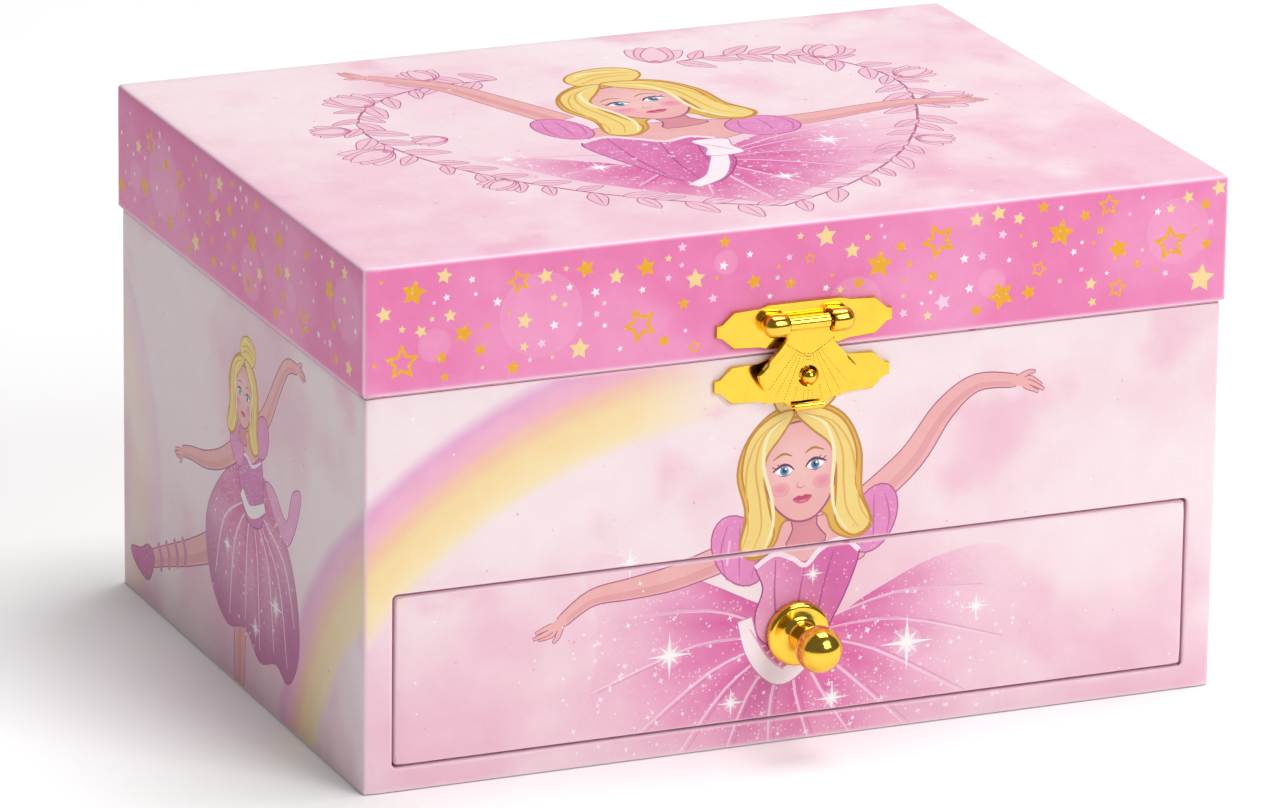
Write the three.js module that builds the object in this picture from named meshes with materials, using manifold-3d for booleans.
// Musical jewellery box with a dancing ballerina, in millimetres.
// +Z is up, the front with the clasp and the drawer faces -Y, and the origin is the middle of the underside.
import * as THREE from "three";
import { mergeVertices } from "three/addons/utils/BufferGeometryUtils.js";
import Module from "manifold-3d";

// ---------------------------------------------------------------- driving sizes

// Whole box, over the closed lid
const boxWidth = 160;
const boxDepth = 121;
const boxHeight = 93;
const lidHeight = 22.4;
const lidOverhang = 0.6; // lid past the body, on each side
const seamGap = 0.4; // between the closed lid and the body

// Stock
const boardThickness = 3.6;
const paperThickness = 0.3;
const glueGap = 0.1; // between a board and the paper on it
const boardGap = 0.2; // between two boards
const panelThickness = 3;
const drawerBoard = 2.4;

// Drawer and its window in the front panel
const windowMargin = 5.1; // from the body's side to the window
const windowHeight = 31.2;
const windowCorner = 1.5;
const baseThickness = 3.9;
const drawerGap = 0.7; // around the drawer's front
const drawerStopGap = 2.1; // behind the closed drawer
const drawerSideHeight = 24;
const runningGap = 0.3;
const knobBaseRadius = 5.7;
const knobBaseThickness = 1.9;
const knobNeckRadius = 2.3;
const knobBallRadius = 4.1;
const knobReach = 9.7; // drawer's face to the ball's centre
const knobScrewRadius = 1.5;
const knobScrewHeadRadius = 3;

// Tray above the drawer
const trayFloorClearance = 2.9; // over the drawer's window
const dividerThickness = 2;
const dividerHeight = 21;
const ringAreaDepth = 68.5; // front to back, inside the body's front panel
const ringRollCount = 4;
const ringRollRadius = 7.9;

// Lid
const lidTopThickness = 3.5;
const mirrorWidth = 96;
const mirrorDepth = 66;
const mirrorThickness = 1.8;
const surroundThickness = 2.2;
const mirrorCorner = 4;

// Clasp: two plates of one outline, a flap that hangs from the upper one and a stud on the lower one
const plateThickness = 0.7;
const plateHalfLength = 16.2;
const plateLobeHalfHeight = 3.25;
const plateCentreHalfHeight = 3.95;
const plateTipHalfHeight = 1.1;
const haspPlateRise = 4.7; // plates' middles, above and below the lid's lower edge
const catchPlateDrop = 5.2;
const haspAxisRise = 5.3;
const haspBarrelRadius = 1.25;
const haspBarrelHalf = 3.9;
const domeRadius = 2.1;
const domeStart = 4.2; // from the middle to a dome's inner face
const domeCentre = 6.5;
const haspPinRadius = 0.5;
const flapHalfWidth = 9.1;
const flapDrop = 9.4; // the flap's lowest edge below the lid's lower edge
const flapLipHalf = 2.7;
const flapLipRadius = 1.1;
const studDrop = 4.1;
const studBallRadius = 1.3;
const studNeckRadius = 0.7;
const studReach = 2.7; // catch plate's face to the ball's centre
const studHoleRadius = 1.9;

// Stop hinges at the back
const hingeSpread = 100; // between the two hinges' middles
const hingeWidth = 20;
const hingeLeafHeight = 9;
const hingeLeafThickness = 0.8;
const hingeBarrelRadius = 1.5;
const hingePinRadius = 0.6;
const hingeTailLength = 4.4;
const lidOpenAngle = 95; // degrees
const hingeStopMargin = 2.5; // degrees left between the tails at that angle

// Wind-up movement, on the back panel behind the drawer
const bedplateWidth = 54;
const bedplateThickness = 2.6;
const shelfThickness = 1.5;
const arborRadius = 1.5;
const housingRadius = 13;
const housingDepth = 9.5;
const housingWall = 0.7;
const gearModule = 0.9;
const crownTeeth = 30;
const cylinderTeeth = 16;
const governorTeeth = 10;
const wormWheelTeeth = 24;
const crownToothHeight = 1.7;
const crownDiscThickness = 1.2;
const gearThickness = 2.8;
const gearClearance = 0.35;
const toothShare = 0.36; // of the pitch, at the pitch line
const cylinderRadius = 6;
const cylinderLength = 23;
const spindleRadius = 1;
const shaftClearance = 0.15;
const movementClearance = 0.25; // around the movement's outermost moving parts
const bedplateHeadroom = 0.6; // under the tray floor
const crownRim = 0.9; // disc beyond the pitch circle
const combTeeth = 18;
const combThickness = 1;
const combToothLength = 11.5;
const combTipGap = 0.35;
const combFootWidth = 7;
const combScrewRadius = 0.9;
const combScrewInset = 5;
const wormWheelRadius = 5.2;
const wormWheelThickness = 1.6;
const wormCoreRadius = 1;
const wormGap = 0.4;
const flyRadius = 4.5;
const flyBladeLength = 7;
const stopRodRadius = 0.6;

// Winding key
const keyBarrelRadius = 2.6;
const keyBarrelLength = 11;
const keyWingWidth = 21;
const keyWingHeight = 12;
const keyWingThickness = 2;
const keyStandOff = 1.2; // from the body's back to the key

// Dancer
const turntableRadius = 12;
const turntableThickness = 2;
const dancerSpringRadius = 2.1;
const dancerSpringHeight = 5;
const dancerSpringWire = 0.7;
const dancerHeadroom = 1.2; // raised hands to the lid's ceiling
const skirtRadius = 11.5;

// ---------------------------------------------------------------- derived places

const bodyHalfX = boxWidth / 2 - lidOverhang;
const bodyHalfY = boxDepth / 2 - lidOverhang;
const skin = paperThickness + glueGap;
const boardHalfX = bodyHalfX - skin;
const boardHalfY = bodyHalfY - skin;
const insideHalfX = boardHalfX - boardThickness;
const insideHalfY = boardHalfY - boardThickness;
const bodyTop = boxHeight - lidHeight - seamGap;
const lidBottom = boxHeight - lidHeight;
const lidHalfX = boxWidth / 2;
const lidHalfY = boxDepth / 2;
const lidBoardHalfX = lidHalfX - skin;
const lidBoardHalfY = lidHalfY - skin;
const lidInsideHalfX = lidBoardHalfX - boardThickness;
const lidInsideHalfY = lidBoardHalfY - boardThickness;
const lidTopUnderside = boxHeight - skin - lidTopThickness;
const ceiling = lidTopUnderside - boardGap - surroundThickness;

const haspPlateHeight = lidBottom + haspPlateRise;
const catchPlateHeight = lidBottom - catchPlateDrop;
const haspAxisHeight = lidBottom + haspAxisRise;
const flapBottomHeight = lidBottom - flapDrop;
const studHeight = lidBottom - studDrop;

const windowHalfWidth = bodyHalfX - windowMargin;
const windowTop = baseThickness + windowHeight;
const drawerHalfWidth = windowHalfWidth - drawerGap;
const drawerBottomZ = baseThickness + runningGap;
const drawerFrontY = -bodyHalfY;
const drawerFrontLow = baseThickness + drawerGap;
const drawerFrontHigh = windowTop - drawerGap;
const knobHeight = (drawerFrontLow + drawerFrontHigh) / 2;

const bedplateBack = insideHalfY - boardGap;
const bedplateFront = bedplateBack - bedplateThickness;
const bedplateLow = baseThickness + 0.5;
const crownPitchRadius = (crownTeeth * gearModule) / 2;
const crownRadius = crownPitchRadius + crownRim;
const cylinderPitchRadius = (cylinderTeeth * gearModule) / 2;
const governorPitchRadius = (governorTeeth * gearModule) / 2;
const toothAddendum = 0.8;
const toothDedendum = 1;
const housingFront = bedplateFront - boardGap - housingDepth;
const crownDiscBack = housingFront - 0.4;
const crownDiscFront = crownDiscBack - crownDiscThickness;
const cylinderY = crownDiscFront - gearClearance - cylinderPitchRadius - toothAddendum;
const gearLow = bedplateLow + shelfThickness + 0.2;
const gearHigh = gearLow + gearThickness;
const windingHeight = (gearLow + gearHigh) / 2 + crownPitchRadius; // the key's axis
const governorX = -(cylinderPitchRadius + governorPitchRadius);
const wormWheelLow = gearHigh + 3;
const wormWheelHigh = wormWheelLow + wormWheelThickness;
const flyX = governorX - wormWheelRadius - wormCoreRadius - wormGap;
const flyZ = (wormWheelLow + wormWheelHigh) / 2;
const flyBladeFront = cylinderY + 5;
const flyBladeBack = flyBladeFront + flyBladeLength;
const stopRodY = (flyBladeFront + flyBladeBack) / 2;
const governorFrameLeft = flyX - 4.2;
const governorReach = Math.max(governorPitchRadius + toothAddendum, wormWheelRadius);
const governorFrameFront = cylinderY - governorReach - 0.4;
const combTipX = cylinderRadius + combTipGap;
const combPillarX = [combTipX + combToothLength + 0.6, combTipX + combToothLength + 0.6 + combFootWidth];
const combSpanZ = [gearHigh + 2, gearHigh + 2 + cylinderLength];
const combScrewX = (combPillarX[0] + combPillarX[1]) / 2;
const combScrewHeights = [combSpanZ[0] + combScrewInset, combSpanZ[1] - combScrewInset];

const bedplateHigh = Math.max(
  windowTop + trayFloorClearance - bedplateHeadroom,
  Math.max(windingHeight + crownRadius, combSpanZ[1]) + 2 * movementClearance + shelfThickness,
);
const trayFloorHeight = bedplateHigh + bedplateHeadroom;
const trayTop = trayFloorHeight + panelThickness;
const dancerFloor = trayTop + 0.5;
const dividerY = -insideHalfY + ringAreaDepth; // front face of the long divider
const bayWallBack = cylinderY - cylinderPitchRadius - toothAddendum - movementClearance;
const bayWallY = bayWallBack - panelThickness;
const drawerBackY = bayWallY - drawerStopGap;

// ---------------------------------------------------------------- materials

const material = (color, roughness, metalness) =>
  new THREE.MeshStandardMaterial({ color, roughness, metalness });
const board = material(0xb9a58c, 0.9, 0);
const bodyPrint = material(0xf3d6e0, 0.4, 0);
const lidPrint = material(0xee7fb6, 0.4, 0);
const brass = material(0xe0b040, 0.2, 1);
const steel = material(0xb8bcc2, 0.3, 1);
const castMetal = material(0x9a9a94, 0.5, 1);
const velvet = material(0xe58fb8, 1, 0);
const liningCard = material(0xf2b6cf, 0.8, 0);
const mirrorGlass = material(0xdfe6ea, 0.03, 1);
const dollPlastic = material(0xf2c2ad, 0.35, 0);
const tulle = material(0xf3a4c8, 0.9, 0);
const whitePlastic = material(0xf4eef0, 0.4, 0);

// ---------------------------------------------------------------- tools

const wasm = await Module();
wasm.setup();

const box = new THREE.Group();

// Adds a named piece to the scene graph and returns its mesh.
function piece(name, geometry, surface, parent = box) {
  const mesh = new THREE.Mesh(geometry, surface);
  mesh.name = name;
  parent.add(mesh);
  return mesh;
}

// A flat-sided block between two corners, as geometry in place.
function block([x0, x1], [y0, y1], [z0, z1]) {
  return new THREE.BoxGeometry(x1 - x0, y1 - y0, z1 - z0).translate(
    (x0 + x1) / 2,
    (y0 + y1) / 2,
    (z0 + z1) / 2,
  );
}

// A cylinder along "x", "y" or "z" between two places on that axis, centred on the other two.
function rod(axis, radius, from, to, [a, b], sides = 20) {
  const g = new THREE.CylinderGeometry(radius, radius, to - from, sides);
  const middle = (from + to) / 2;
  if (axis === "x") return g.rotateZ(-Math.PI / 2).translate(middle, a, b);
  if (axis === "y") return g.translate(a, middle, b);
  return g.rotateX(Math.PI / 2).translate(a, b, middle);
}

function toSolid(geometry) {
  const bare = new THREE.BufferGeometry();
  bare.setAttribute("position", geometry.getAttribute("position"));
  bare.setIndex(geometry.index);
  const merged = mergeVertices(bare, 1e-4);
  return new wasm.Manifold(
    new wasm.Mesh({
      numProp: 3,
      vertProperties: new Float32Array(merged.attributes.position.array),
      triVerts: new Uint32Array(merged.index.array),
    }),
  );
}

function toGeometry(solid) {
  const { vertProperties, triVerts, numProp } = solid.getMesh();
  const count = vertProperties.length / numProp;
  const places = new Float32Array(count * 3);
  for (let i = 0; i < count; i++) {
    places.set(vertProperties.subarray(i * numProp, i * numProp + 3), i * 3);
  }
  const geometry = new THREE.BufferGeometry();
  geometry.setAttribute("position", new THREE.BufferAttribute(places, 3));
  geometry.setIndex(new THREE.BufferAttribute(triVerts, 1));
  geometry.computeVertexNormals();
  return geometry;
}

// Joins the first list of geometries and cuts the second list away.
function formed(joined, cut = []) {
  let solid = toSolid(joined[0]);
  for (const g of joined.slice(1)) solid = solid.add(toSolid(g));
  for (const g of cut) solid = solid.subtract(toSolid(g));
  return toGeometry(solid);
}

function outline(points) {
  return new THREE.Shape(points.map(([x, y]) => new THREE.Vector2(x, y)));
}

// A rectangle with round corners, as a Shape.
function roundedRectangle([x0, x1], [y0, y1], radius) {
  const shape = new THREE.Shape();
  shape.absarc(x1 - radius, y1 - radius, radius, 0, Math.PI / 2);
  shape.absarc(x0 + radius, y1 - radius, radius, Math.PI / 2, Math.PI);
  shape.absarc(x0 + radius, y0 + radius, radius, Math.PI, 1.5 * Math.PI);
  shape.absarc(x1 - radius, y0 + radius, radius, 1.5 * Math.PI, 2 * Math.PI);
  shape.closePath();
  return shape;
}

// An upright sheet: an outline drawn in X and Z, between two places in Y.
function upright(shape, yFront, yBack, curveSegments = 4) {
  return new THREE.ExtrudeGeometry(shape, { depth: yBack - yFront, bevelEnabled: false, curveSegments })
    .rotateX(Math.PI / 2)
    .translate(0, yBack, 0);
}

// A flat sheet: an outline drawn in X and Y, between two heights.
function flat(shape, zLow, zHigh, curveSegments = 4) {
  return new THREE.ExtrudeGeometry(shape, {
    depth: zHigh - zLow,
    bevelEnabled: false,
    curveSegments,
  }).translate(0, 0, zLow);
}

// A turned shape about the Y axis, from [radius, distance forward] pairs, its origin at (x, y, z).
function turnedForward(profile, [x, y, z], sides = 24) {
  const points = profile.map(([radius, reach]) => new THREE.Vector2(radius, reach));
  return new THREE.LatheGeometry(points, sides).rotateX(Math.PI).translate(x, y, z);
}

// A turned shape about the Z axis, from [radius, height] pairs, its origin at (x, y, z).
function turnedUp(profile, [x, y, z], sides = 20) {
  const points = profile.map(([radius, height]) => new THREE.Vector2(radius, height));
  return new THREE.LatheGeometry(points, sides).rotateX(Math.PI / 2).translate(x, y, z);
}

// The outline of a spur gear with straight-flanked teeth; a tooth points along +X.
function gearOutline(teeth, addendum = toothAddendum, dedendum = toothDedendum) {
  const pitchRadius = (teeth * gearModule) / 2;
  const halfTooth = (Math.PI / teeth) * toothShare;
  const tip = pitchRadius + addendum;
  const root = pitchRadius - dedendum;
  const points = [];
  for (let i = 0; i < teeth; i++) {
    const middle = (2 * Math.PI * i) / teeth;
    for (const [radius, turn] of [
      [root, -1.45 * halfTooth],
      [tip, -0.45 * halfTooth],
      [tip, 0.45 * halfTooth],
      [root, 1.45 * halfTooth],
    ]) {
      points.push([radius * Math.cos(middle + turn), radius * Math.sin(middle + turn)]);
    }
  }
  return outline(points);
}

const plus = (shape, hole) => {
  shape.holes.push(hole);
  return shape;
};

// ---------------------------------------------------------------- body

function makeBody() {
  const acrossInside = [-insideHalfX + boardGap, insideHalfX - boardGap];
  const deepInside = [-insideHalfY + boardGap, insideHalfY - boardGap];
  piece("base_panel", block(acrossInside, deepInside, [0, baseThickness]), board);
  for (const [name, side] of [["left_side", -1], ["right_side", 1]]) {
    const x = [side * insideHalfX, side * boardHalfX].sort((a, b) => a - b);
    piece(name, block(x, deepInside, [0, bodyTop]), board);
  }

  const keyHole = rod("y", arborRadius + 2, insideHalfY - 1, bodyHalfY + 1, [0, windingHeight]);
  const backPanel = block([-boardHalfX, boardHalfX], [insideHalfY, boardHalfY], [0, bodyTop]);
  piece("back_panel", formed([backPanel], [keyHole]), board);

  const windowShape = () =>
    roundedRectangle([-windowHalfWidth, windowHalfWidth], [baseThickness, windowTop], windowCorner);
  const frontShape = outline([
    [-boardHalfX, 0],
    [boardHalfX, 0],
    [boardHalfX, bodyTop],
    [-boardHalfX, bodyTop],
  ]);
  piece("front_panel", upright(plus(frontShape, windowShape()), -boardHalfY, -insideHalfY), board);

  const spindleHole = rod("z", spindleRadius + 0.5, trayFloorHeight - 1, trayTop + 1, [0, cylinderY], 12);
  const rodHole = rod("z", stopRodRadius + 0.5, trayFloorHeight - 1, trayTop + 1, [flyX, stopRodY], 12);
  const trayFloor = block(acrossInside, deepInside, [trayFloorHeight, trayTop]);
  piece("tray_floor", formed([trayFloor], [spindleHole, rodHole]), board);
  piece(
    "drawer_bay_wall",
    block(
      acrossInside,
      [bayWallY, bayWallBack],
      [baseThickness + boardGap, trayFloorHeight - boardGap],
    ),
    board,
  );

  const innerSleeve = block(
    [-bodyHalfX + paperThickness, bodyHalfX - paperThickness],
    [-bodyHalfY + paperThickness, bodyHalfY - paperThickness],
    [-1, bodyTop + 1],
  );
  const outerSleeve = block([-bodyHalfX, bodyHalfX], [-bodyHalfY, bodyHalfY], [0, bodyTop]);
  const windowCut = upright(windowShape(), -bodyHalfY - 1, -boardHalfY);
  piece("body_cover_paper", formed([outerSleeve], [innerSleeve, windowCut, keyHole]), bodyPrint);
}

function makeTray() {
  const low = trayTop + boardGap;
  piece(
    "tray_divider_long",
    block(
      [-insideHalfX + boardGap, insideHalfX - boardGap],
      [dividerY, dividerY + dividerThickness],
      [low, low + dividerHeight],
    ),
    liningCard,
  );
  piece(
    "tray_divider_cross",
    block(
      [-dividerThickness / 2, dividerThickness / 2],
      [-insideHalfY + boardGap, dividerY - boardGap],
      [low, low + dividerHeight],
    ),
    liningCard,
  );
  const pitch = ringAreaDepth / ringRollCount;
  for (let i = 0; i < ringRollCount; i++) {
    const y = -insideHalfY + pitch * (i + 0.5);
    const roll = rod(
      "x",
      Math.min(ringRollRadius, pitch / 2 - boardGap),
      -insideHalfX + 2 * boardGap,
      -dividerThickness / 2 - 2 * boardGap,
      [y, low + ringRollRadius],
      16,
    );
    piece(`ring_roll_${i + 1}`, roll, velvet);
  }
}

// ---------------------------------------------------------------- lid

function makeLid() {
  const railTop = lidTopUnderside - glueGap;
  const acrossLid = [-lidBoardHalfX, lidBoardHalfX];
  const betweenRails = [-lidInsideHalfY + boardGap, lidInsideHalfY - boardGap];
  piece(
    "lid_top_panel",
    block(acrossLid, [-lidBoardHalfY, lidBoardHalfY], [lidTopUnderside, lidTopUnderside + lidTopThickness]),
    board,
  );
  piece("lid_front_rail", block(acrossLid, [-lidBoardHalfY, -lidInsideHalfY], [lidBottom, railTop]), board);
  piece("lid_back_rail", block(acrossLid, [lidInsideHalfY, lidBoardHalfY], [lidBottom, railTop]), board);
  for (const [name, side] of [["lid_left_rail", -1], ["lid_right_rail", 1]]) {
    const x = [side * lidInsideHalfX, side * lidBoardHalfX].sort((a, b) => a - b);
    piece(name, block(x, betweenRails, [lidBottom, railTop]), board);
  }

  const outside = block([-lidHalfX, lidHalfX], [-lidHalfY, lidHalfY], [lidBottom, boxHeight]);
  const inside = block(
    [-lidHalfX + paperThickness, lidHalfX - paperThickness],
    [-lidHalfY + paperThickness, lidHalfY - paperThickness],
    [lidBottom - 1, boxHeight - paperThickness],
  );
  piece("lid_cover_paper", formed([outside], [inside]), lidPrint);

  const mirrorShape = (gap) =>
    roundedRectangle(
      [-mirrorWidth / 2 - gap, mirrorWidth / 2 + gap],
      [-mirrorDepth / 2 - gap, mirrorDepth / 2 + gap],
      mirrorCorner + gap,
    );
  const halfX = lidInsideHalfX - boardGap;
  const halfY = lidInsideHalfY - boardGap;
  const surround = outline([[-halfX, -halfY], [halfX, -halfY], [halfX, halfY], [-halfX, halfY]]);
  piece(
    "mirror_surround",
    flat(plus(surround, mirrorShape(boardGap)), ceiling, ceiling + surroundThickness),
    liningCard,
  );
  const mirrorTop = lidTopUnderside - glueGap;
  piece("mirror", flat(mirrorShape(0), mirrorTop - mirrorThickness, mirrorTop), mirrorGlass);
}

// ---------------------------------------------------------------- drawer

function makeDrawer() {
  const boardFront = drawerFrontY + skin;
  const boardBack = drawerFrontY + skin + boardThickness;
  const frontShape = (inset) =>
    roundedRectangle(
      [-drawerHalfWidth + inset, drawerHalfWidth - inset],
      [drawerFrontLow + inset, drawerFrontHigh - inset],
      windowCorner - 0.5 * drawerGap,
    );
  const screwHole = rod("y", knobScrewRadius + 0.2, drawerFrontY - 1, boardBack + 1, [0, knobHeight], 16);
  piece("drawer_front", formed([upright(frontShape(0), boardFront, boardBack)], [screwHole]), board);
  piece(
    "drawer_front_paper",
    formed([upright(frontShape(0), drawerFrontY, drawerFrontY + paperThickness)], [screwHole]),
    bodyPrint,
  );

  const sideTop = drawerBottomZ + drawerSideHeight;
  const behindFront = boardBack + boardGap;
  for (const [name, side] of [["drawer_left_side", -1], ["drawer_right_side", 1]]) {
    const x = [side * drawerHalfWidth, side * (drawerHalfWidth - drawerBoard)].sort((a, b) => a - b);
    piece(name, block(x, [behindFront, drawerBackY], [drawerBottomZ, sideTop]), board);
  }
  const within = drawerHalfWidth - drawerBoard - boardGap;
  piece(
    "drawer_back",
    block([-within, within], [drawerBackY - drawerBoard, drawerBackY], [drawerBottomZ, sideTop]),
    board,
  );
  piece(
    "drawer_bottom",
    block(
      [-within, within],
      [behindFront, drawerBackY - drawerBoard - boardGap],
      [drawerBottomZ, drawerBottomZ + drawerBoard],
    ),
    board,
  );

  const face = drawerFrontY - glueGap;
  const ballPoints = [];
  const neckJoin = Math.asin(knobNeckRadius / knobBallRadius);
  for (let i = 0; i <= 12; i++) {
    const turn = Math.PI - neckJoin - ((Math.PI - neckJoin) * i) / 12;
    ballPoints.push([knobBallRadius * Math.sin(turn), knobReach + knobBallRadius * Math.cos(turn)]);
  }
  ballPoints[ballPoints.length - 1][0] = 0;
  const profile = [
    [0, 0],
    [knobBaseRadius, 0],
    [knobBaseRadius, 0.5 * knobBaseThickness],
    [knobBaseRadius - 0.5, 0.8 * knobBaseThickness],
    [knobNeckRadius + 0.8, knobBaseThickness],
    [knobNeckRadius, knobBaseThickness + 0.8],
    ...ballPoints,
  ];
  const knob = turnedForward(profile, [0, face, knobHeight], 28);
  const screwEnd = face - 6;
  const bore = rod("y", knobScrewRadius + 0.1, screwEnd - 0.4, face + 1, [0, knobHeight], 16);
  piece("drawer_knob", formed([knob], [bore]), brass);
  piece(
    "knob_screw",
    formed([
      rod("y", knobScrewRadius, screwEnd, boardBack + 1, [0, knobHeight], 16),
      rod("y", knobScrewHeadRadius, boardBack + 0.2, boardBack + 1.8, [0, knobHeight], 16),
    ]),
    steel,
  );
}

// ---------------------------------------------------------------- clasp

// The outline that both clasp plates share, about a middle height.
function claspOutline(height) {
  const right = [
    [6.9, plateCentreHalfHeight],
    [8.9, plateLobeHalfHeight],
    [13.6, plateLobeHalfHeight],
    [15.7, plateTipHalfHeight],
    [plateHalfLength, plateTipHalfHeight],
  ];
  const upper = [...right.map(([x, z]) => [-x, z]).reverse(), ...right];
  const lower = upper.map(([x, z]) => [x, -z]).reverse();
  return outline([...upper, ...lower].reverse().map(([x, z]) => [x, z + height]));
}

function makeClasp() {
  const haspBack = -lidHalfY - glueGap;
  const haspFront = haspBack - plateThickness;
  const axisY = haspFront - haspBarrelRadius - 0.25;
  const axis = [axisY, haspAxisHeight];

  const domes = [-1, 1].flatMap((side) => {
    const ends = [side * domeStart, side * domeCentre].sort((a, b) => a - b);
    const ball = new THREE.SphereGeometry(domeRadius, 16, 12);
    ball.rotateZ(Math.PI / 2).translate(side * domeCentre, ...axis);
    return [rod("x", domeRadius, ...ends, axis, 16), ball];
  });
  const behindPlate = block([-12, 12], [haspBack, haspBack + 5], [haspAxisHeight - 5, haspAxisHeight + 5]);
  const pinBore = rod("x", haspPinRadius + 0.1, -domeCentre - 0.4, domeCentre + 0.4, axis, 12);
  piece(
    "hasp_plate",
    formed([upright(claspOutline(haspPlateHeight), haspFront, haspBack), ...domes], [behindPlate, pinBore]),
    brass,
  );
  piece("hasp_pin", rod("x", haspPinRadius, -domeCentre, domeCentre, axis, 12), brass);

  const flapBack = axisY + 0.5;
  const flapFront = flapBack - plateThickness;
  const right = [
    [haspBarrelHalf, haspAxisHeight],
    [haspBarrelHalf, haspAxisHeight - domeRadius - 0.4],
    [flapHalfWidth, flapBottomHeight + 6.1],
    [flapHalfWidth - 0.2, flapBottomHeight + 5.1],
    [flapHalfWidth - 2.2, flapBottomHeight + 2.1],
    [flapHalfWidth - 4.6, flapBottomHeight + 1.3],
    [flapLipHalf + 0.5, flapBottomHeight],
  ];
  const left = right.map(([x, z]) => [-x, z]).reverse();
  const sheet = upright(outline([...left, ...right].reverse()), flapFront, flapBack);
  const barrel = rod("x", haspBarrelRadius, -haspBarrelHalf, haspBarrelHalf, axis, 16);
  const lipAxis = [flapFront - flapLipRadius + plateThickness, flapBottomHeight];
  const lipTube = rod("x", flapLipRadius, -flapLipHalf, flapLipHalf, lipAxis, 16);
  const lipHollow = rod(
    "x",
    flapLipRadius - plateThickness + 0.1,
    -flapLipHalf - 1,
    flapLipHalf + 1,
    lipAxis,
    12,
  );
  const lipMouth = block(
    [-flapLipHalf - 1, flapLipHalf + 1],
    [lipAxis[0] - 3, lipAxis[0]],
    [flapBottomHeight, flapBottomHeight + 2],
  );
  const studHole = rod("y", studHoleRadius, flapFront - 1, flapBack + 1, [0, studHeight], 16);
  const bore = rod("x", haspPinRadius + 0.15, -haspBarrelHalf - 1, haspBarrelHalf + 1, axis, 12);
  piece("hasp_flap", formed([sheet, barrel, lipTube], [lipHollow, lipMouth, studHole, bore]), brass);

  const catchBack = -bodyHalfY - glueGap;
  const catchFront = catchBack - plateThickness;
  const rivetHole = rod("y", studNeckRadius + 0.1, catchFront - 1, catchBack + 1, [0, studHeight], 12);
  piece(
    "catch_plate",
    formed([upright(claspOutline(catchPlateHeight), catchFront, catchBack)], [rivetHole]),
    brass,
  );
  const ball = new THREE.SphereGeometry(studBallRadius, 16, 12);
  ball.translate(0, catchFront - studReach, studHeight);
  piece(
    "catch_stud",
    formed([
      rod("y", studNeckRadius, catchFront - studReach, catchBack, [0, studHeight], 12),
      rod("y", studNeckRadius + 0.5, catchFront - 0.8, catchFront - 0.2, [0, studHeight], 12),
      ball,
    ]),
    brass,
  );
}

// ---------------------------------------------------------------- hinges

// One stop hinge at a place across the back. The two leaves' tails meet when the lid is open.
function makeHinge(name, x) {
  const axisY = lidHalfY + hingeBarrelRadius + 0.2;
  const axisZ = lidBottom - seamGap / 2;
  const axis = [axisY, axisZ];
  const half = hingeWidth / 2;
  const knuckle = hingeWidth / 3;
  const full = [x - half, x + half];
  const gap = 0.15;
  const centre = [x - knuckle / 2 + gap, x + knuckle / 2 - gap];
  const outer = [
    [x - half, x - knuckle / 2 - gap],
    [x + knuckle / 2 + gap, x + half],
  ];
  const bore = rod("x", hingePinRadius + 0.1, full[0] - 1, full[1] + 1, axis, 16);

  // A tail plate on one side of a plane through the axis, at an angle above straight back.
  const tail = (span, degrees, from, side) => {
    const plate = block(
      span,
      [from, hingeTailLength],
      side > 0 ? [0, hingeLeafThickness] : [-hingeLeafThickness, 0],
    );
    return plate.rotateX(THREE.MathUtils.degToRad(degrees)).translate(0, axisY, axisZ);
  };
  const between = lidOpenAngle + hingeStopMargin;
  const lidLeafY = lidHalfY + glueGap;
  const bodyLeafY = bodyHalfY + glueGap;
  const clearOfBarrel = hingeBarrelRadius + 0.25;

  const lidBarrel = rod("x", hingeBarrelRadius, ...centre, axis, 20);
  const bodyBarrels = outer.map((span) => rod("x", hingeBarrelRadius, ...span, axis, 20));
  piece(
    `${name}_lid_leaf`,
    formed(
      [
        block(
          full,
          [lidLeafY, lidLeafY + hingeLeafThickness],
          [axisZ + clearOfBarrel, axisZ + hingeLeafHeight],
        ),
        block(centre, [lidLeafY, lidLeafY + hingeLeafThickness], [axisZ + 0.4, axisZ + clearOfBarrel + 0.2]),
        lidBarrel,
        tail(centre, between / 2, hingePinRadius + 0.3, 1),
        tail(full, between / 2, clearOfBarrel, 1),
      ],
      [bore],
    ),
    brass,
  );
  piece(
    `${name}_body_leaf`,
    formed(
      [
        block(
          full,
          [bodyLeafY, bodyLeafY + hingeLeafThickness],
          [axisZ - hingeLeafHeight, axisZ - clearOfBarrel],
        ),
        ...outer.map((span) => block(span, [bodyLeafY, axisY], [axisZ - clearOfBarrel - 0.2, axisZ - 1])),
        ...bodyBarrels,
        ...outer.map((span) => tail(span, -between / 2, hingePinRadius + 0.3, -1)),
        tail(full, -between / 2, clearOfBarrel, -1),
      ],
      [bore],
    ),
    brass,
  );
  piece(`${name}_pin`, rod("x", hingePinRadius, ...full, axis, 16), steel);
}

// ---------------------------------------------------------------- movement

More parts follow.
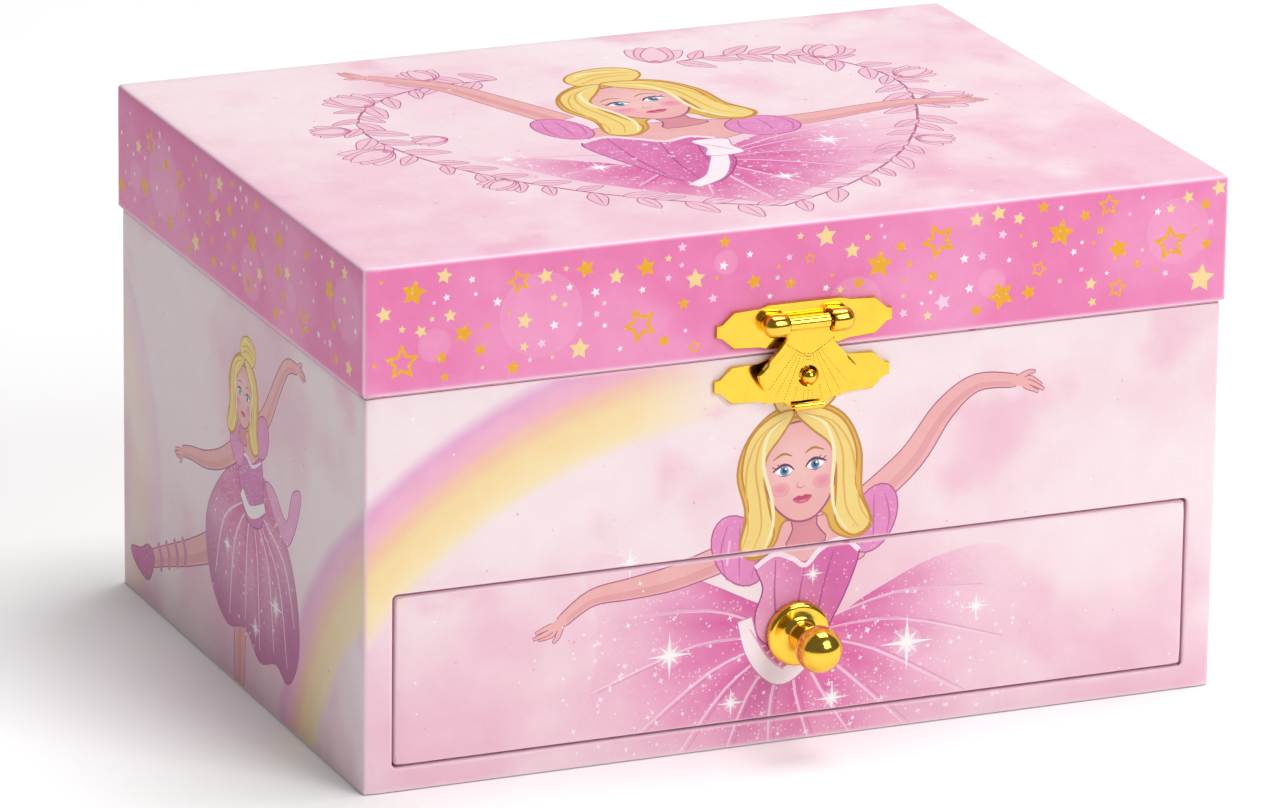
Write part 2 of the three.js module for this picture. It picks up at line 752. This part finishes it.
function makeBedplate() {
  const shelfFront = governorFrameFront - 1.3;
  const shaftHole = (radius, x, y, [low, high]) => rod("z", radius + shaftClearance, low, high, [x, y], 12);
  const lowShelf = [bedplateLow, bedplateLow + shelfThickness];
  const highShelf = [bedplateHigh - shelfThickness, bedplateHigh];
  const joined = [
    block(
      [-bedplateWidth / 2, bedplateWidth / 2],
      [bedplateFront, bedplateBack],
      [bedplateLow, bedplateHigh],
    ),
    block(
      [governorFrameLeft - 1.5, cylinderPitchRadius + toothAddendum + 1],
      [shelfFront, bedplateFront + 0.5],
      lowShelf,
    ),
    block([-5, 5], [shelfFront, bedplateFront + 0.5], highShelf),
    block(combPillarX, [cylinderY + combThickness / 2 + 0.2, bedplateFront + 0.5], combSpanZ),
  ];
  const cut = [
    rod("y", arborRadius + shaftClearance, bedplateFront - 1, bedplateBack + 1, [0, windingHeight], 16),
    shaftHole(spindleRadius, 0, cylinderY, [bedplateLow - 1, bedplateHigh + 1]),
    shaftHole(0.6, governorX, cylinderY, [bedplateLow - 1, lowShelf[1] + 1]),
    ...combScrewHeights.map((z) =>
      rod("y", combScrewRadius + 0.2, cylinderY, cylinderY + 8, [combScrewX, z], 12),
    ),
  ];
  piece("movement_bedplate", formed(joined, cut), castMetal);
}

function makeComb() {
  const pitch = cylinderLength / combTeeth;
  const slot = 0.3;
  const points = [[combPillarX[1], combSpanZ[0]], [combPillarX[1], combSpanZ[1]]];
  for (let i = combTeeth - 1; i >= 0; i--) {
    const low = combSpanZ[0] + pitch * i + slot / 2;
    const high = combSpanZ[0] + pitch * (i + 1) - slot / 2;
    const root = combTipX + combToothLength;
    points.push([root, high], [combTipX, high], [combTipX, low], [root, low]);
  }
  const comb = upright(
    outline(points.reverse()),
    cylinderY - combThickness / 2,
    cylinderY + combThickness / 2,
  );
  const holes = combScrewHeights.map((z) =>
    rod("y", combScrewRadius + 0.2, cylinderY - 2, cylinderY + 2, [combScrewX, z], 12),
  );
  piece("music_comb", formed([comb], holes), steel);
  combScrewHeights.forEach((z, i) => {
    const combFront = cylinderY - combThickness / 2;
    const head = rod("y", 1.7, combFront - 1.5, combFront - 0.2, [combScrewX, z], 14);
    const shank = rod("y", combScrewRadius, combFront - 1, cylinderY + 7, [combScrewX, z], 12);
    const slotCut = block(
      [combScrewX - 2, combScrewX + 2],
      [combFront - 2, combFront - 1],
      [z - 0.25, z + 0.25],
    );
    piece(`comb_screw_${i + 1}`, formed([head, shank], [slotCut]), steel);
  });
}

function makeSpring() {
  const centre = [0, windingHeight];
  const drum = rod("y", housingRadius, housingFront, bedplateFront - boardGap, centre, 32);
  const hollow = rod(
    "y",
    housingRadius - housingWall,
    housingFront + housingWall,
    bedplateFront + 1,
    centre,
    32,
  );
  const hole = rod("y", arborRadius + shaftClearance, housingFront - 1, bedplateFront, centre, 16);
  piece("spring_housing", formed([drum], [hollow, hole]), steel);

  // The coiled mainspring, a strip wound outwards from the arbor.
  const turns = 4;
  const steps = 16 * turns;
  const inner = arborRadius + 1;
  const outer = housingRadius - housingWall - 0.8;
  const strip = 0.45;
  const along = (radiusOffset) =>
    Array.from({ length: steps + 1 }, (_, i) => {
      const angle = (2 * Math.PI * turns * i) / steps;
      const radius = inner + ((outer - inner) * i) / steps + radiusOffset;
      return [radius * Math.cos(angle), windingHeight + radius * Math.sin(angle)];
    });
  const spiral = outline([...along(strip), ...along(0).reverse()]);
  piece("mainspring", upright(spiral, housingFront + housingWall + 0.6, bedplateFront - 1), steel);
}

function makeWinding() {
  const centre = [0, windingHeight];
  const keyFront = bodyHalfY + keyStandOff;
  const arborBack = keyFront + keyBarrelLength - 3;
  piece("winding_arbor", rod("y", arborRadius, crownDiscFront - 0.6, arborBack, centre, 16), steel);

  const disc = rod("y", crownRadius, crownDiscFront, crownDiscBack, centre, 36);
  const teeth = Array.from({ length: crownTeeth }, (_, i) => {
    const pitch = Math.PI * gearModule;
    const half = (pitch / 2) * toothShare;
    const radial = [crownPitchRadius - crownRim, crownRadius - 0.1];
    const tooth = outline([
      [-1.35 * half, 0.3],
      [-0.5 * half, -crownToothHeight],
      [0.5 * half, -crownToothHeight],
      [1.35 * half, 0.3],
    ]);
    return new THREE.ExtrudeGeometry(tooth, { depth: radial[1] - radial[0], bevelEnabled: false })
      .translate(0, crownDiscFront, radial[0])
      .rotateY((2 * Math.PI * i) / crownTeeth)
      .translate(0, 0, windingHeight);
  });
  const bore = rod("y", arborRadius + 0.1, crownDiscFront - 3, crownDiscBack + 1, centre, 16);
  piece("great_wheel", formed([disc, ...teeth], [bore]), brass);

  const barrel = rod("y", keyBarrelRadius, keyFront, keyFront + keyBarrelLength, centre, 20);
  const wing = roundedRectangle(
    [-keyWingWidth / 2, keyWingWidth / 2],
    [keyFront + keyBarrelLength - 4, keyFront + keyBarrelLength - 4 + keyWingHeight],
    keyWingHeight / 2 - 0.2,
  );
  const wingSheet = flat(
    wing,
    windingHeight - keyWingThickness / 2,
    windingHeight + keyWingThickness / 2,
    6,
  );
  const threadBore = rod("y", arborRadius + 0.1, keyFront - 1, arborBack + 0.5, centre, 16);
  piece("winding_key", formed([barrel, wingSheet], [threadBore]), brass);
}

function makeCylinder() {
  const low = combSpanZ[0];
  const gear = gearOutline(cylinderTeeth);
  const gearSolid = flat(gear, gearLow, gearHigh)
    .rotateZ(Math.PI / 2 + Math.PI / cylinderTeeth)
    .translate(0, cylinderY, 0);
  const bore = rod("z", spindleRadius + 0.1, gearLow - 1, low + cylinderLength + 1, [0, cylinderY], 16);
  piece(
    "pinned_cylinder",
    formed(
      [
        gearSolid,
        rod("z", 3, gearHigh - 0.5, low + 0.5, [0, cylinderY], 16),
        rod("z", cylinderRadius, low, low + cylinderLength, [0, cylinderY], 36),
      ],
      [bore],
    ),
    brass,
  );
}

function makeGovernor() {
  const pinion = flat(gearOutline(governorTeeth), gearLow, gearHigh).translate(governorX, cylinderY, 0);
  const wheelPoints = [];
  for (let i = 0; i < wormWheelTeeth * 2; i++) {
    const angle = (Math.PI * i) / wormWheelTeeth;
    const radius = wormWheelRadius - (i % 2 ? 0.6 : 0);
    wheelPoints.push([radius * Math.cos(angle), radius * Math.sin(angle)]);
  }
  const wheel = flat(outline(wheelPoints), wormWheelLow, wormWheelHigh).translate(governorX, cylinderY, 0);
  const shaftRadius = 0.6;
  const shaft = rod("z", shaftRadius, bedplateLow + 0.3, wormWheelHigh + 2.6, [governorX, cylinderY], 12);
  const hub = rod("z", 1.6, gearHigh - 0.4, wormWheelLow + 0.4, [governorX, cylinderY], 12);
  piece("governor_wheel", formed([pinion, wheel, shaft, hub]), brass);

  const frameLow = bedplateLow + shelfThickness + 0.2;
  const earFront = [governorFrameFront - 1.2, governorFrameFront];
  const earBack = [flyBladeBack + 2, flyBladeBack + 3.2];
  const earTop = flyZ + 3.5;
  const capLow = wormWheelHigh + 0.8;
  const holes = [
    rod("y", 0.5 + shaftClearance, earFront[0] - 1, earBack[1] + 1, [flyX, flyZ], 12),
    rod("z", shaftRadius + shaftClearance, capLow - 1, capLow + 3, [governorX, cylinderY], 12),
  ];
  piece(
    "governor_frame",
    formed(
      [
        block(
          [governorFrameLeft, governorX - governorReach - 0.5],
          [earFront[0], earBack[1]],
          [frameLow, frameLow + 1],
        ),
        block([governorFrameLeft, governorX + 2], earFront, [frameLow, earTop]),
        block([governorFrameLeft, flyX + 2], earBack, [frameLow, earTop]),
        block([governorX - 2, governorX + 2], [earFront[0], cylinderY + 2], [capLow, capLow + 1.2]),
      ],
      holes,
    ),
    steel,
  );

  const blade = (angle) =>
    block([-flyRadius, flyRadius], [flyBladeFront, flyBladeBack], [-0.25, 0.25])
      .rotateY(angle)
      .translate(flyX, 0, flyZ);
  piece(
    "air_brake_fly",
    formed([
      rod("y", 0.5, earFront[0] + 0.2, earBack[1] - 0.2, [flyX, flyZ], 12),
      rod("y", wormCoreRadius, earFront[1] + 0.5, flyBladeBack + 0.4, [flyX, flyZ], 12),
      blade(0),
    ]),
    whitePlastic,
  );
}

function makeStopRod() {
  const padLow = flyZ + flyRadius + 0.5;
  const top = ceiling - 0.4;
  const ball = new THREE.SphereGeometry(1.2, 12, 8).translate(flyX, stopRodY, top - 1.2);
  piece(
    "stop_rod",
    formed([
      rod("z", 2, padLow, padLow + 1, [flyX, stopRodY], 12),
      rod("z", stopRodRadius, padLow + 0.5, top - 1.2, [flyX, stopRodY], 12),
      ball,
    ]),
    steel,
  );
}

// ---------------------------------------------------------------- dancer

function makeDancer() {
  const tableTop = dancerFloor + turntableThickness;
  const springTop = tableTop + dancerSpringHeight;
  const centre = [0, cylinderY];
  piece("dancer_spindle", rod("z", spindleRadius, bedplateLow + 0.3, tableTop + 1.5, centre, 16), steel);
  piece(
    "turntable",
    formed(
      [rod("z", turntableRadius, dancerFloor, tableTop, centre, 40)],
      [rod("z", spindleRadius + 0.1, dancerFloor - 1, tableTop + 1, centre, 16)],
    ),
    whitePlastic,
  );

  // The coil spring that the dancer sways on.
  const turns = 3.5;
  const wire = dancerSpringWire / 2;
  class Coil extends THREE.Curve {
    getPoint(t) {
      const angle = 2 * Math.PI * turns * t;
      const low = tableTop + 0.2 + wire;
      const high = springTop - 0.2 - wire;
      return new THREE.Vector3(
        dancerSpringRadius * Math.cos(angle),
        cylinderY + dancerSpringRadius * Math.sin(angle),
        low + (high - low) * t,
      );
    }
  }
  const section = outline(
    Array.from({ length: 6 }, (_, i) => [
      wire * Math.cos((Math.PI * i) / 3),
      wire * Math.sin((Math.PI * i) / 3),
    ]),
  );
  piece(
    "dancer_spring",
    new THREE.ExtrudeGeometry(section, { steps: 12 * turns, extrudePath: new Coil(), bevelEnabled: false }),
    steel,
  );

  // The figure: a foot disc, one straight leg, a body, a head with a bun, and two arms that meet overhead.
  const height = ceiling - dancerHeadroom - springTop;
  const at = (share) => springTop + height * share;
  const leg = [
    [0, 0],
    [2.6, 0],
    [2.6, 0.9],
    [0.8, 1.2],
    [0.75, height * 0.13],
    [1.25, height * 0.26],
    [1.5, height * 0.4],
    [2.5, height * 0.45],
    [1.7, height * 0.54],
    [2.3, height * 0.62],
    [1.6, height * 0.655],
    [0.75, height * 0.67],
    [0.75, height * 0.7],
    [0, height * 0.71],
  ];
  const headRadius = 0.062 * height;
  const head = new THREE.SphereGeometry(headRadius, 16, 12)
    .scale(1, 1, 1.15)
    .translate(0, cylinderY, at(0.755));
  const bun = new THREE.SphereGeometry(0.55 * headRadius, 12, 8).translate(
    0,
    cylinderY + 0.4 * headRadius,
    at(0.845),
  );
  const arms = [-1, 1].map((side) => {
    const path = new THREE.CatmullRomCurve3([
      new THREE.Vector3(side * 1.4, cylinderY, at(0.635)),
      new THREE.Vector3(side * 4.3, cylinderY - 0.4, at(0.72)),
      new THREE.Vector3(side * 4.6, cylinderY - 0.9, at(0.84)),
      new THREE.Vector3(side * 2.6, cylinderY - 1, at(0.94)),
      new THREE.Vector3(side * 0.6, cylinderY - 1, at(0.985)),
    ]);
    const round = outline(
      Array.from({ length: 8 }, (_, i) => [
        0.6 * Math.cos((Math.PI * i) / 4),
        0.6 * Math.sin((Math.PI * i) / 4),
      ]),
    );
    return new THREE.ExtrudeGeometry(round, { steps: 10, extrudePath: path, bevelEnabled: false });
  });
  const legs = turnedUp(leg, [0, cylinderY, springTop]);
  piece("dancer_figure", formed([legs, head, bun, ...arms]), dollPlastic);

  // The skirt: a shallow dish with a hole for the body.
  const waist = height * 0.49;
  const skirt = [
    [3, waist],
    [skirtRadius, waist - 3],
    [skirtRadius, waist - 1.8],
    [3, waist + 1.4],
    [3, waist],
  ];
  piece("dancer_skirt", turnedUp(skirt, [0, cylinderY, springTop], 28), tulle);
}

// ---------------------------------------------------------------- the whole box

makeBody();
makeTray();
makeLid();
makeDrawer();
makeClasp();
makeHinge("hinge_left", -hingeSpread / 2);
makeHinge("hinge_right", hingeSpread / 2);
makeBedplate();
makeComb();
makeSpring();
makeWinding();
makeCylinder();
makeGovernor();
makeStopRod();
makeDancer();

export default box;
